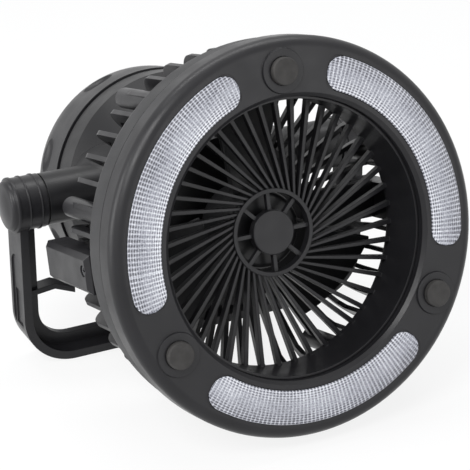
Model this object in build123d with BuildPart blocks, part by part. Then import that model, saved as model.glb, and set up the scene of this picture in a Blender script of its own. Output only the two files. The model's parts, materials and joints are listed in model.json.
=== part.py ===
from build123d import *
from math import atan2, cos, degrees, hypot, radians, sin, sqrt
import os

# Portable camping fan with a ring light.  All sizes are in millimetres.
#
# The row frame stands on the ground: +Z is up, -Y is the side the air leaves, and the origin lies
# under the stand's pivot.  The head is tilted back, so most pieces are drawn in the head's own
# frame: x across, y up the tilted face, z forwards along the fan's axis from the ring's widest circle.

# ---------------------------------------------------------------- driving dimensions: posture
tilt = 15.0                 # the head leans back by this many degrees
pivot_depth = 123.0         # the stand's pivot behind the widest circle
pivot_rise = 24.0           # and above the fan's axis

# ---------------------------------------------------------------- light ring
ring_radius = 105.0
opening_radius = 74.0
face_height = 6.0           # the ring's flat face in front of the widest circle
bezel_depth = 12.0          # the parting line behind the widest circle
lip_depth = 14.0            # how far the lip of the opening reaches back
ring_wall = 2.5
shoulder = 6.5              # rounding between the face and the side
skirt_radius = 103.2
skirt_depth = 31.0
skirt_corner = 4.0
part_gap = 0.2              # between shells that close on each other
rim_bevel = 0.8             # along the parting line
tongue_wall = 1.8

window_inner = 78.5
window_outer = 97.0
window_margin = 17.0        # degrees from a foot to the next window
window_corner = 6.0
lens_lap = 1.4              # the lens flange behind the window's edge
lens_proud = 0.8
lens_play = 0.15            # degrees at each end of a window
flange_thickness = 1.4
tray_depth = 7.6
tray_wall = 1.2
board_thickness = 1.6
board_inset = 1.0
board_end = 2.0             # degrees from a window's end to the board
led_end = 5.0               # degrees from a window's end to the first LED
led_size = 3.2
led_height = 0.9
leds_per_lens = 14

foot_circle = 87.8
foot_angles = (90, 210, 330)
foot_names = ("top", "left", "right")
foot_radius = 7.2
foot_height = 4.6           # the rubber in front of the ring's face
collar_radius = 12.0
collar_height = 1.4
collar_draft = 15.0
collar_root = 1.0           # how deep the collar is rooted in the face
socket_depth = 4.0
socket_wall = 2.4
seat_thickness = 4.0
foot_edge = 1.0
screw_post_radius = 4.6
ring_screw_depth = 24.0
screw_radius = 1.5
screw_head_radius = 2.9
screw_head_height = 2.0

# ---------------------------------------------------------------- front grille
slat_count = 45
slat_swirl = 26.0           # degrees that a slat gains from its root to the rim
slat_root = 1.3
slat_end = 2.5
slat_depth = 4.0
grille_back = 30.0
grille_skirt_wall = 1.4
grille_skirt_front = 0.5
hub_ring_radius = 22.5
hub_ring_width = 2.2
cap_radius = 12.1
cap_height = 2.2
cap_edge = 0.7
slat_bite = 0.6             # how far a slat runs into the skirt
spoke_count = 8
spoke_width = 2.2

# ---------------------------------------------------------------- duct
duct_radius = 76.0
duct_ledge = 2.0
duct_mouth_radius = 84.0
duct_depth = 50.0
duct_throat = 3.0           # straight part behind the grille
duct_flare = 28.0           # radius of the bell mouth

# ---------------------------------------------------------------- rotor and motor
blade_count = 3
blade_tip = 70.0
blade_centre = 83.0         # degrees, middle of one blade
blade_root_chord = 30.0
blade_mid_chord = 42.0
blade_tip_chord = 57.0
blade_front = 45.0
blade_back = 71.0
blade_thickness = 2.4
blade_mid_radius = 46.0
blade_root_sink = 4.0
blade_tip_trim = 1.5        # cut away to a round tip
rotor_hub_radius = 22.0
rotor_hub_front = 36.0
rotor_hub_back = 68.0
rotor_hub_draft = 1.5
rotor_hub_wall = 3.0
rotor_hub_cap = 4.0
rotor_boss_wall = 4.0
nut_height = 3.0
nut_radius = 5.0
shaft_radius = 2.5
shaft_gap = 0.05
motor_radius = 19.0
motor_length = 30.0
bearing_radius = 6.5
bearing_length = 5.0
bearing_inset = 1.5
motor_edge = 2.0

# ---------------------------------------------------------------- rear guard
rib_count = 45
rib_phase = 3.5             # degrees, the first rib
rib_thickness = 2.6
rib_outer = 97.0
rib_inner = 88.8
rib_back = 80.0
rib_bar_depth = 4.0
rib_elbow = 12.0
rib_gusset = 4.0
rib_root = 1.5              # how far a rib runs into the neck ring
hoop_bite = 0.6             # how far a rib runs into the hoop
neck_ring_rise = 2.0
guard_hoop_wall = 2.2
neck_radius = 44.0
neck_ring_width = 3.4
wall_bite = 0.6             # how far one wall runs into the next
beam_height = 21.0          # the cross-beam that carries the drum
beam_centre = -3.5
beam_depth = 7.0
post_angles = (15, 57, 123, 165, 240, 300)
post_radius = 5.6
post_circle = 91.0
post_back = 86.0

# ---------------------------------------------------------------- side arms
arm_inner = 89.4
arm_outer = 103.0
arm_height = 21.0
arm_centre = -4.5
arm_front = 36.5
arm_back = 97.0
arm_chamfer = 2.6
tenon_height = 13.0
tenon_inner = 91.0
tenon_outer = 98.0
arm_screw_depth = 42.0
screw_head_sink = 2.6

# ---------------------------------------------------------------- drum
drum_rise = 12.0            # the drum's centre above the fan's axis
drum_radius = 68.0
drum_front = 76.5
cone_front = 82.0
cone_back = 146.0
drum_back = 163.0
drum_wall = 2.6
bulkhead_back = 128.0
panel_depth = 152.5
seam_width = 1.6
seam_depth = 1.4
cover_radius = 69.0
cover_back = 205.0
cover_end_radius = 55.0
cover_shoulder = 20.0
cover_wall = 3.4
cover_edge = 6.0
spigot_wall = 2.6
spigot_reach = 4.0
seal_inset = 0.8
scoop_count = 8
scoop_phase = 22.5
scoop_length = 30.0
scoop_width = 17.0
scoop_sink = 3.2
scoop_depth = 184.0
cover_turn_gap = 0.4

boss_radius = 14.7
boss_outer = 92.0

cell_radius = 16.8
cell_length = 61.0
cell_back = 196.0
cell_spacing = 36.0
carrier_wall = 1.6
cell_gap = 0.2
carrier_floor = 4.0
contact_radius = 6.0
board_radius = 38.0

panel_angle = 52.0
panel_length = 36.0
panel_width = 13.0
panel_height = 1.6
button_spacing = 17.0
button_radius = 4.6
button_gap = 0.3
button_proud = 1.8
button_flange = 1.0
button_lip = 0.7
button_reach = 2.8          # from the band's inner wall down to a button's foot
board_drop = 5.0            # from a button's foot down to its board
board_overhang = 3.0
board_post_radius = 2.0
switch_size = 7.0
switch_height = 3.6

# ---------------------------------------------------------------- stand
stand_half_width = 109.0
stand_corner = 30.0
strap_width = 20.0
strap_thickness = 5.0
web_thickness = 5.0
web_height = 7.0
web_centre = 2.5
knuckle_radius = 15.0
knuckle_inner = 93.0
washer_thickness = 0.8
pivot_bore = 5.0
pivot_pin_gap = 0.08
pivot_pin_depth = 26.0
pin_head_radius = 8.0
pin_head_height = 2.1
pin_recess = 2.6
knob_radius = 15.6
knob_height = 6.5
knob_edge = 3.5
peg_height = 44.0
peg_length = 22.0
peg_width = 9.0
peg_thickness = 3.4
peg_rise = 2.0
peg_dip = 3.0
peg_bend = 0.45             # share of the peg beyond its bend
relief_depth = 0.9
relief_bottom = 20.0
relief_top = 68.0
relief_margin = 3.0

os.makedirs("parts", exist_ok=True)

# ---------------------------------------------------------------- frames
lean = radians(tilt)
forward = Vector(0, -cos(lean), sin(lean))
rim_centre = skirt_radius - skirt_corner
head_height = rim_centre * cos(lean) + (skirt_depth - skirt_corner) * sin(lean) + skirt_corner
head_back = pivot_depth * cos(lean) + pivot_rise * sin(lean)
head = Plane(origin=(0, -head_back, head_height), x_dir=(1, 0, 0), z_dir=forward)
head_axis = Axis(head.origin, head.z_dir)
drum_origin = head.origin + head.y_dir * drum_rise
drum = Plane(origin=drum_origin, x_dir=(1, 0, 0), z_dir=forward)
drum_axis = Axis(drum.origin, drum.z_dir)
pivot_height = head_height + pivot_rise * cos(lean) - pivot_depth * sin(lean)


def radial_plane(angle, base=head):
    """Plane through the axis of a frame: x runs outwards at the angle and y runs forwards."""
    outwards = base.x_dir * cos(radians(angle)) + base.y_dir * sin(radians(angle))
    return Plane(origin=base.origin, x_dir=outwards, z_dir=outwards.cross(base.z_dir))


def facing_plane(angle, radius, depth, base=head):
    """Plane that faces outwards at an angle: x runs round the axis and y runs forwards."""
    outwards = base.x_dir * cos(radians(angle)) + base.y_dir * sin(radians(angle))
    around = base.y_dir * cos(radians(angle)) - base.x_dir * sin(radians(angle))
    place = base.origin + outwards * radius - base.z_dir * depth
    return Plane(origin=place, x_dir=around, z_dir=outwards)


def side_plane(side, distance):
    """Upright plane across the pivot: x runs back along +Y, y runs up and z points outwards."""
    back = Vector(0, 1, 0)
    return Plane(origin=(side * distance, 0, 0), x_dir=back * side, z_dir=(side, 0, 0))


def arm_plane(side, distance):
    """Plane of the head frame that faces sideways: x runs forwards on the left, backwards on the right."""
    place = head.origin + head.x_dir * (side * distance)
    return Plane(origin=place, x_dir=head.z_dir * -side, z_dir=head.x_dir * side)


def polar(radius, angle):
    return (radius * cos(radians(angle)), radius * sin(radians(angle)))


def arc_band(inner, outer, start, sweep, corner):
    """Sketch of an arched slot with rounded corners."""
    with BuildSketch(mode=Mode.PRIVATE) as band:
        with BuildLine():
            CenterArc((0, 0), inner, start, sweep)
            CenterArc((0, 0), outer, start, sweep)
            Line(polar(inner, start), polar(outer, start))
            Line(polar(inner, start + sweep), polar(outer, start + sweep))
        make_face()
        fillet(band.vertices(), corner)
    return band.sketch


def save(piece, name):
    piece.part.label = name
    export_step(piece.part, f"parts/{name}.step")


# ---------------------------------------------------------------- light ring
window_sweep = 120 - 2 * window_margin
lens_starts = [angle + window_margin for angle in foot_angles]
lens_names = ("left", "bottom", "right")
socket_floor = face_height + collar_height - socket_depth
post_floor = socket_floor - seat_thickness
tray_front = face_height - ring_wall - flange_thickness
tray_back = tray_front - tray_depth

with BuildPart() as front_bezel:
    with BuildSketch(radial_plane(0)):
        with BuildLine():
            Polyline(
                (ring_radius - shoulder, face_height),
                (opening_radius + 2.0, face_height),
                (opening_radius, face_height - 2.0),
                (opening_radius, -lip_depth),
                (opening_radius + ring_wall, -lip_depth),
                (opening_radius + ring_wall, face_height - ring_wall),
                (ring_radius - shoulder, face_height - ring_wall),
            )
            RadiusArc(
                (ring_radius - shoulder, face_height - ring_wall),
                (ring_radius - ring_wall, face_height - shoulder),
                shoulder - ring_wall,
            )
            Polyline(
                (ring_radius - ring_wall, face_height - shoulder),
                (ring_radius - ring_wall, -bezel_depth),
                (ring_radius - rim_bevel, -bezel_depth),
                (ring_radius, -bezel_depth + 2 * rim_bevel),
                (ring_radius, face_height - shoulder),
            )
            RadiusArc(
                (ring_radius, face_height - shoulder),
                (ring_radius - shoulder, face_height),
                -shoulder,
            )
        make_face()
    revolve(axis=head_axis)
    # Collars that hold the rubber feet, backed by screw seats.
    with BuildSketch(head.offset(post_floor)):
        for angle in foot_angles:
            with Locations(polar(foot_circle, angle)):
                Circle(foot_radius + socket_wall)
    extrude(amount=face_height - post_floor)
    with BuildSketch(head.offset(face_height - collar_root)):
        for angle in foot_angles:
            with Locations(polar(foot_circle, angle)):
                Circle(collar_radius)
    extrude(amount=collar_height + collar_root, taper=collar_draft)
    with BuildSketch(head.offset(face_height + collar_height)):
        for angle in foot_angles:
            with Locations(polar(foot_circle, angle)):
                Circle(foot_radius + part_gap)
    extrude(amount=-socket_depth, mode=Mode.SUBTRACT)
    with BuildSketch(head.offset(socket_floor)):
        for angle in foot_angles:
            with Locations(polar(foot_circle, angle)):
                Circle(screw_head_radius + part_gap)
    extrude(amount=-screw_head_height, mode=Mode.SUBTRACT)
    with BuildSketch(head.offset(socket_floor)):
        for angle in foot_angles:
            with Locations(polar(foot_circle, angle)):
                Circle(screw_radius + part_gap)
    extrude(amount=post_floor - socket_floor, mode=Mode.SUBTRACT)
    # Windows for the three lenses.
    for start in lens_starts:
        with BuildSketch(head.offset(face_height)):
            add(arc_band(window_inner, window_outer, start, window_sweep, window_corner))
        extrude(amount=-ring_wall, mode=Mode.SUBTRACT)
save(front_bezel, "front_bezel")

lap_degrees = degrees(lens_lap / window_outer)
for name, start in zip(lens_names, lens_starts):
    with BuildPart() as lens:
        with BuildSketch(head.offset(face_height - ring_wall)):
            add(
                arc_band(
                    window_inner + part_gap,
                    window_outer - part_gap,
                    start + lens_play,
                    window_sweep - 2 * lens_play,
                    window_corner,
                )
            )
        extrude(amount=ring_wall + lens_proud)
        with BuildSketch(head.offset(face_height - ring_wall)):
            add(
                arc_band(
                    window_inner - lens_lap,
                    window_outer + lens_lap,
                    start - lap_degrees,
                    window_sweep + 2 * lap_degrees,
                    window_corner,
                )
            )
        extrude(amount=-flange_thickness)
        outer_rims = lens.faces().sort_by(head_axis)[-1].edges()
        chamfer(outer_rims, lens_proud)
    save(lens, f"lens_{name}")

    with BuildPart() as tray:
        with BuildSketch(head.offset(tray_front)):
            add(
                arc_band(
                    window_inner - lens_lap,
                    window_outer + lens_lap,
                    start - lap_degrees,
                    window_sweep + 2 * lap_degrees,
                    window_corner,
                )
            )
        extrude(amount=-tray_depth)
        with BuildSketch(head.offset(tray_front)):
            add(
                arc_band(
                    window_inner - lens_lap + tray_wall,
                    window_outer + lens_lap - tray_wall,
                    start,
                    window_sweep,
                    window_corner - tray_wall,
                )
            )
        extrude(amount=tray_wall - tray_depth, mode=Mode.SUBTRACT)
    save(tray, f"light_tray_{name}")

    with BuildPart() as led_board:
        with BuildSketch(head.offset(tray_back + tray_wall)):
            add(
                arc_band(
                    window_inner + board_inset,
                    window_outer - board_inset,
                    start + board_end,
                    window_sweep - 2 * board_end,
                    window_corner - 2 * board_inset,
                )
            )
        extrude(amount=board_thickness)
    save(led_board, f"led_board_{name}")

led_pitch = (window_sweep - 2 * led_end) / (leds_per_lens - 1)
with BuildPart() as leds:
    with BuildSketch(head.offset(tray_back + tray_wall + board_thickness)):
        for start in lens_starts:
            for index in range(leds_per_lens):
                angle = start + led_end + index * led_pitch
                with Locations(Location((*polar((window_inner + window_outer) / 2, angle), 0), angle)):
                    Rectangle(led_size, led_size)
    extrude(amount=led_height)
save(leds, "leds")

for name, angle in zip(foot_names, foot_angles):
    with BuildPart() as foot:
        with BuildSketch(head.offset(socket_floor)):
            with Locations(polar(foot_circle, angle)):
                Circle(foot_radius)
        extrude(amount=face_height + foot_height - socket_floor)
        fillet(foot.faces().sort_by(head_axis)[-1].edges(), foot_edge)
    save(foot, f"foot_{name}")

with BuildPart() as ring_screws:
    with BuildSketch(head.offset(socket_floor - screw_head_height)):
        for angle in foot_angles:
            with Locations(polar(foot_circle, angle)):
                Circle(screw_head_radius)
    extrude(amount=screw_head_height)
    with BuildSketch(head.offset(-ring_screw_depth)):
        for angle in foot_angles:
            with Locations(polar(foot_circle, angle)):
                Circle(screw_radius)
    extrude(amount=ring_screw_depth + socket_floor - screw_head_height)
save(ring_screws, "ring_screws")

floor_front = tray_back
floor_back = floor_front - tongue_wall
with BuildPart() as ring_shell:
    with BuildSketch(radial_plane(0)):
        with BuildLine():
            Polyline(
                (skirt_radius - ring_wall, -skirt_depth + ring_wall),
                (skirt_radius - ring_wall, -bezel_depth - part_gap),
                (skirt_radius, -bezel_depth - part_gap),
                (skirt_radius, -skirt_depth + skirt_corner),
            )
            RadiusArc(
                (skirt_radius, -skirt_depth + skirt_corner),
                (skirt_radius - skirt_corner, -skirt_depth),
                skirt_corner,
            )
            Polyline(
                (skirt_radius - skirt_corner, -skirt_depth),
                (duct_mouth_radius + ring_wall, -skirt_depth),
                (duct_mouth_radius + ring_wall, -duct_depth),
                (duct_mouth_radius, -duct_depth),
            )
            RadiusArc(
                (duct_mouth_radius, -duct_depth),
                (duct_radius - duct_ledge, -grille_back - duct_throat),
                -duct_flare,
            )
            Polyline(
                (duct_radius - duct_ledge, -grille_back - duct_throat),
                (duct_radius - duct_ledge, -grille_back),
                (duct_radius, -grille_back),
                (duct_radius, -lip_depth - part_gap),
                (duct_radius + ring_wall, -lip_depth - part_gap),
                (duct_radius + ring_wall, -skirt_depth + ring_wall),
                (skirt_radius - ring_wall, -skirt_depth + ring_wall),
            )
        make_face()
    revolve(axis=head_axis)
    # Tongue inside the bezel, with the shelf that carries the light trays.
    tongue_outer = ring_radius - ring_wall - part_gap
    with BuildSketch(radial_plane(0)):
        with BuildLine():
            Polyline(
                (skirt_radius - ring_wall - tongue_wall, -skirt_depth + ring_wall / 2),
                (skirt_radius - ring_wall + wall_bite, -skirt_depth + ring_wall / 2),
                (skirt_radius - ring_wall + wall_bite, -bezel_depth - part_gap),
                (tongue_outer, -bezel_depth - part_gap),
                (tongue_outer, floor_front),
                (duct_radius + ring_wall - wall_bite, floor_front),
                (duct_radius + ring_wall - wall_bite, floor_back),
                (skirt_radius - ring_wall - tongue_wall, floor_back),
                close=True,
            )
        make_face()
    revolve(axis=head_axis)
    with BuildSketch(head.offset(-skirt_depth + ring_wall / 2)):
        for angle in foot_angles:
            with Locations(polar(foot_circle, angle)):
                Circle(screw_post_radius)
    extrude(amount=skirt_depth - ring_wall / 2 + post_floor)
    with BuildSketch(head.offset(post_floor)):
        for angle in foot_angles:
            with Locations(polar(foot_circle, angle)):
                Circle(screw_radius)
    extrude(amount=-ring_screw_depth - post_floor, mode=Mode.SUBTRACT)
    # Screw holes for the rear guard's posts.
    with BuildSketch(head.offset(-skirt_depth)):
        for angle in post_angles:
            with Locations(polar(post_circle, angle)):
                Circle(screw_radius)
    extrude(amount=ring_wall, mode=Mode.SUBTRACT)
save(ring_shell, "ring_shell")

# ---------------------------------------------------------------- front grille
skirt_outer = opening_radius - part_gap
skirt_inner = skirt_outer - grille_skirt_wall
with BuildPart() as front_grille:
    with BuildSketch(radial_plane(0)):
        with BuildLine():
            Polyline(
                (skirt_inner, -grille_back),
                (skirt_inner, grille_skirt_front),
                (skirt_outer, grille_skirt_front),
                (skirt_outer, -lip_depth - part_gap),
                (skirt_outer, -grille_back + 2.0),
                (duct_radius - part_gap, -grille_back + 2.0),
                (duct_radius - part_gap, -grille_back),
                close=True,
            )
        make_face()
        with Locations((hub_ring_radius, -grille_back + (slat_depth + 1.0) / 2)):
            Rectangle(hub_ring_width, slat_depth + 1.0)
    revolve(axis=head_axis)
    with BuildSketch(head.offset(-grille_back)):
        Circle(cap_radius - part_gap)
        with PolarLocations(0, spoke_count, start_angle=90):
            with Locations(((cap_radius + hub_ring_radius) / 2, 0)):
                Rectangle(hub_ring_radius - cap_radius + 2.0, spoke_width)
    extrude(amount=slat_depth - 1.0)
    root = polar(hub_ring_radius, 0)
    tip = polar(skirt_inner + slat_bite, slat_swirl)
    slat_length = hypot(tip[0] - root[0], tip[1] - root[1])
    slat_heading = degrees(atan2(tip[1] - root[1], tip[0] - root[0]))
    with BuildSketch(head.offset(-grille_back)):
        with PolarLocations(0, slat_count):
            with Locations(Location((root[0], root[1], 0), slat_heading)):
                Polygon(
                    (0, -slat_root / 2),
                    (slat_length, -slat_end / 2),
                    (slat_length, slat_end / 2),
                    (0, slat_root / 2),
                    align=None,
                )
    extrude(amount=slat_depth)
save(front_grille, "front_grille")

with BuildPart() as grille_cap:
    with BuildSketch(head.offset(-grille_back + slat_depth - 1.0)):
        Circle(cap_radius)
    extrude(amount=cap_height)
    fillet(grille_cap.faces().sort_by(head_axis)[-1].edges(), cap_edge)
save(grille_cap, "grille_cap")

# ---------------------------------------------------------------- rotor
blade_rise = blade_back - blade_front
blade_middle = (blade_back + blade_front) / 2
blade_sections = (
    (rotor_hub_radius - blade_root_sink, blade_root_chord),
    (blade_mid_radius, blade_mid_chord),
    (blade_tip + blade_tip_trim, blade_tip_chord),
)
with BuildPart() as fan_rotor:
    for index in range(blade_count):
        angle = blade_centre + index * 360 / blade_count
        for radius, chord in blade_sections:
            slope = degrees(atan2(blade_rise, chord))
            with BuildSketch(facing_plane(angle, radius, blade_middle)):
                with Locations(Location((0, 0, 0), slope)):
                    SlotOverall(hypot(chord, blade_rise), blade_thickness)
        loft()
    with BuildSketch(head.offset(-rotor_hub_back)):
        Circle(rotor_hub_radius)
    extrude(amount=rotor_hub_back - rotor_hub_front, taper=rotor_hub_draft)
    fillet(fan_rotor.faces().filter_by(GeomType.PLANE).sort_by(head_axis)[-1].edges(), rotor_hub_wall)
    with BuildSketch(head.offset(-duct_depth - blade_back)):
        Circle(blade_tip)
    extrude(amount=duct_depth + blade_back, mode=Mode.INTERSECT)
    with BuildSketch(head.offset(-rotor_hub_back)):
        Circle(rotor_hub_radius - rotor_hub_wall)
        Circle(shaft_radius + rotor_boss_wall, mode=Mode.SUBTRACT)
    extrude(amount=rotor_hub_back - rotor_hub_front - rotor_hub_cap, mode=Mode.SUBTRACT)
    with BuildSketch(head.offset(-rotor_hub_back)):
        Circle(shaft_radius)
    extrude(amount=rotor_hub_back - rotor_hub_front, mode=Mode.SUBTRACT)
save(fan_rotor, "fan_rotor")

motor_front = drum_front + drum_wall
motor_back = motor_front + motor_length
with BuildPart() as motor_shaft:
    with BuildSketch(head.offset(-motor_back)):
        Circle(shaft_radius)
    extrude(amount=motor_back - rotor_hub_front + nut_height)
save(motor_shaft, "motor_shaft")

with BuildPart() as rotor_nut:
    with BuildSketch(head.offset(-rotor_hub_front)):
        RegularPolygon(nut_radius, 6)
        Circle(shaft_radius, mode=Mode.SUBTRACT)
    extrude(amount=nut_height)
save(rotor_nut, "rotor_nut")

with BuildPart() as motor_can:
    with BuildSketch(head.offset(-motor_back)):
        Circle(motor_radius)
    extrude(amount=motor_length)
    fillet(motor_can.edges().filter_by(GeomType.CIRCLE), motor_edge)
    with BuildSketch(head.offset(-motor_back)):
        Circle(bearing_radius)
    extrude(amount=motor_length, mode=Mode.SUBTRACT)
save(motor_can, "motor_can")

with BuildPart() as motor_bearings:
    for depth in (motor_back - bearing_inset, motor_front + bearing_length + bearing_inset):
        with BuildSketch(head.offset(-depth)):
            Circle(bearing_radius)
            Circle(shaft_radius + shaft_gap, mode=Mode.SUBTRACT)
        extrude(amount=bearing_length)
save(motor_bearings, "motor_bearings")

# ---------------------------------------------------------------- rear guard
hoop_inner = duct_mouth_radius + ring_wall + part_gap
arm_screw_height = arm_centre + 2.0
arm_top = arm_centre + arm_height / 2
arm_bottom = arm_centre - arm_height / 2


def rib_is_clear(angle):
    """True where a rib misses the side arms."""
    low = min(rib_inner * sin(radians(angle)), rib_outer * sin(radians(angle)))
    high = max(rib_inner * sin(radians(angle)), rib_outer * sin(radians(angle)))
    margin = rib_thickness / 2 + 0.5
    beside_arm = abs(cos(radians(angle))) > cos(radians(45))
    return not (beside_arm and high > arm_bottom - margin and low < arm_top + margin)


with BuildPart() as rear_guard:
    for index in range(rib_count):
        angle = rib_phase + index * 360 / rib_count
        if rib_is_clear(angle):
            with BuildSketch(radial_plane(angle)):
                with BuildLine():
                    Polyline(
                        (neck_radius + rib_root, -rib_back + rib_bar_depth),
                        (neck_radius + rib_root, -rib_back),
                        (rib_outer - rib_elbow, -rib_back),
                    )
                    RadiusArc(
                        (rib_outer - rib_elbow, -rib_back),
                        (rib_outer, -rib_back + rib_elbow),
                        -rib_elbow,
                    )
                    Polyline(
                        (rib_outer, -rib_back + rib_elbow),
                        (rib_outer, -skirt_depth - part_gap),
                        (hoop_inner + hoop_bite, -skirt_depth - part_gap),
                        (hoop_inner + hoop_bite, -duct_depth),
                        (rib_inner, -duct_depth - duct_throat),
                        (rib_inner, -rib_back + rib_bar_depth + rib_gusset),
                        (rib_inner - rib_gusset, -rib_back + rib_bar_depth),
                        (neck_radius + rib_root, -rib_back + rib_bar_depth),
                    )
                make_face()
    extrude(amount=rib_thickness / 2, both=True)
    with BuildSketch(radial_plane(0)):
        with Locations((hoop_inner, -duct_depth)):
            Rectangle(guard_hoop_wall, duct_depth - skirt_depth - part_gap, align=(Align.MIN, Align.MIN))
        with Locations((neck_radius, -rib_back - neck_ring_rise)):
            Rectangle(neck_ring_width, rib_bar_depth + neck_ring_rise, align=(Align.MIN, Align.MIN))
    revolve(axis=head_axis)
    # Cross-beam between the side arms.
    beam_root = neck_radius + rib_root
    beam_end = arm_inner - part_gap
    for side in (-1, 1):
        with BuildSketch(head.offset(-rib_back)):
            with Locations((side * (beam_root + beam_end) / 2, beam_centre)):
                Rectangle(beam_end - beam_root, beam_height)
        extrude(amount=beam_depth)
    with BuildSketch(head.offset(-rib_back)):
        Circle(neck_radius)
    extrude(amount=beam_depth, mode=Mode.SUBTRACT)
    # Posts for the screws that hold the guard to the ring.
    with BuildSketch(head.offset(-post_back)):
        for angle in post_angles:
            with Locations(polar(post_circle, angle)):
                Circle(post_radius)
    extrude(amount=post_back - skirt_depth - part_gap)
    with BuildSketch(head.offset(-duct_depth)):
        Circle(hoop_inner)
    extrude(amount=duct_depth - skirt_depth, mode=Mode.SUBTRACT)
    with BuildSketch(head.offset(-post_back)):
        for angle in post_angles:
            with Locations(polar(post_circle, angle)):
                Circle(screw_radius + part_gap)
    extrude(amount=post_back, mode=Mode.SUBTRACT)
    for side in (-1, 1):
        with BuildSketch(arm_plane(side, hoop_inner - guard_hoop_wall)):
            with Locations((side * arm_screw_depth, arm_screw_height)):
                Circle(screw_radius)
        extrude(amount=2 * guard_hoop_wall + part_gap, mode=Mode.SUBTRACT)
save(rear_guard, "rear_guard")

with BuildPart() as guard_screws:
    with BuildSketch(head.offset(-post_back)):
        for angle in post_angles:
            with Locations(polar(post_circle, angle)):
                Circle(screw_head_radius)
    extrude(amount=-screw_head_height)
    with BuildSketch(head.offset(-post_back)):
        for angle in post_angles:
            with Locations(polar(post_circle, angle)):
                Circle(screw_radius)
    extrude(amount=post_back - skirt_depth + ring_wall)
save(guard_screws, "guard_screws")

# ---------------------------------------------------------------- side arms
side_names = {-1: "left", 1: "right"}
arm_length = arm_back - arm_front
for side, name in side_names.items():
    with BuildPart() as side_arm:
        with BuildSketch(arm_plane(side, arm_inner)):
            with Locations((side * (arm_front + arm_back) / 2, arm_centre)):
                Rectangle(arm_length, arm_height)
        extrude(amount=arm_outer - arm_inner)
        chamfer(side_arm.faces().sort_by(Axis.X)[-1 if side > 0 else 0].edges(), arm_chamfer)
        with BuildSketch(arm_plane(side, tenon_inner)):
            with Locations((side * (arm_front + skirt_depth) / 2, arm_centre)):
                Rectangle(arm_front - skirt_depth, tenon_height)
        extrude(amount=tenon_outer - tenon_inner)
        with BuildSketch(arm_plane(side, arm_outer)):
            with Locations((side * arm_screw_depth, arm_screw_height)):
                Circle(screw_head_radius + part_gap)
        extrude(amount=-screw_head_sink, mode=Mode.SUBTRACT)
        with BuildSketch(arm_plane(side, arm_outer)):
            with Locations((side * arm_screw_depth, arm_screw_height)):
                Circle(screw_radius + part_gap)
        extrude(amount=arm_inner - arm_outer, mode=Mode.SUBTRACT)
    save(side_arm, f"side_arm_{name}")

with BuildPart() as arm_screws:
    for side in side_names:
        with BuildSketch(arm_plane(side, arm_outer - screw_head_sink)):
            with Locations((side * arm_screw_depth, arm_screw_height)):
                Circle(screw_head_radius)
        extrude(amount=screw_head_height)
        with BuildSketch(arm_plane(side, arm_outer - screw_head_sink)):
            with Locations((side * arm_screw_depth, arm_screw_height)):
                Circle(screw_radius)
        extrude(amount=hoop_inner + part_gap - arm_outer + screw_head_sink)
save(arm_screws, "arm_screws")

# ---------------------------------------------------------------- drum
pivot = Plane(origin=(0, 0, pivot_height), x_dir=(0, 1, 0), z_dir=(1, 0, 0))
band_inner = drum_radius - drum_wall
neck_inner = neck_radius - drum_wall
bulkhead_front = bulkhead_back - drum_wall
bulkhead_share = (bulkhead_front - cone_front) / (cone_back - cone_front)
bulkhead_radius = neck_inner + (band_inner - neck_inner) * bulkhead_share + wall_bite
button_floor = band_inner - button_reach
board_floor = button_floor - board_drop
button_sides = {"fan": -1, "light": 1}


def panel_plane(radius):
    return facing_plane(panel_angle, radius, panel_depth, drum)


with BuildPart() as drum_shell:
    with BuildSketch(head.offset(-cone_front)):
        Circle(neck_radius)
    extrude(amount=cone_front - drum_front)
    with BuildSketch(head.offset(-cone_front)):
        Circle(neck_radius)
    with BuildSketch(drum.offset(-cone_back)):
        Circle(drum_radius)
    loft()
    with BuildSketch(drum.offset(-drum_back)):
        Circle(drum_radius)
    extrude(amount=drum_back - cone_back)
    with BuildSketch(pivot):
        Circle(boss_radius)
    extrude(amount=boss_outer, both=True)
    with BuildSketch(panel_plane(band_inner)):
        SlotOverall(panel_length, panel_width)
    extrude(amount=drum_wall + panel_height)
    # The hollow, with a bulkhead left standing between the motor and the batteries.
    with BuildSketch(head.offset(-drum_front - drum_wall)):
        Circle(neck_inner)
    extrude(amount=drum_front + drum_wall - cone_front, mode=Mode.SUBTRACT)
    with BuildSketch(head.offset(-cone_front)):
        Circle(neck_inner)
    with BuildSketch(drum.offset(-cone_back)):
        Circle(band_inner)
    loft(mode=Mode.SUBTRACT)
    with BuildSketch(drum.offset(-drum_back)):
        Circle(band_inner)
    extrude(amount=drum_back - cone_back, mode=Mode.SUBTRACT)
    with BuildSketch(head.offset(-bulkhead_back)):
        with Locations((0, drum_rise * bulkhead_share)):
            Circle(bulkhead_radius)
    extrude(amount=drum_wall)
    with BuildSketch(head.offset(-drum_front)):
        Circle(bearing_radius + 1.0)
    extrude(amount=-drum_wall, mode=Mode.SUBTRACT)
    with BuildSketch(pivot.offset(-boss_outer)):
        Circle(pivot_bore - pivot_pin_gap)
    extrude(amount=pivot_pin_depth, mode=Mode.SUBTRACT)
    with BuildSketch(pivot.offset(boss_outer)):
        Circle(pivot_bore - pivot_pin_gap)
    extrude(amount=-pivot_pin_depth, mode=Mode.SUBTRACT)
    # Button holes and the posts that carry the button board.
    with BuildSketch(panel_plane(board_floor)):
        with GridLocations(button_spacing, 0, 2, 1):
            Circle(button_radius)
    extrude(amount=drum_radius, mode=Mode.SUBTRACT)
    with BuildSketch(panel_plane(board_floor)):
        with GridLocations(panel_length, 0, 2, 1):
            Circle(board_post_radius)
    extrude(amount=band_inner - board_floor)
save(drum_shell, "drum_shell")

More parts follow.
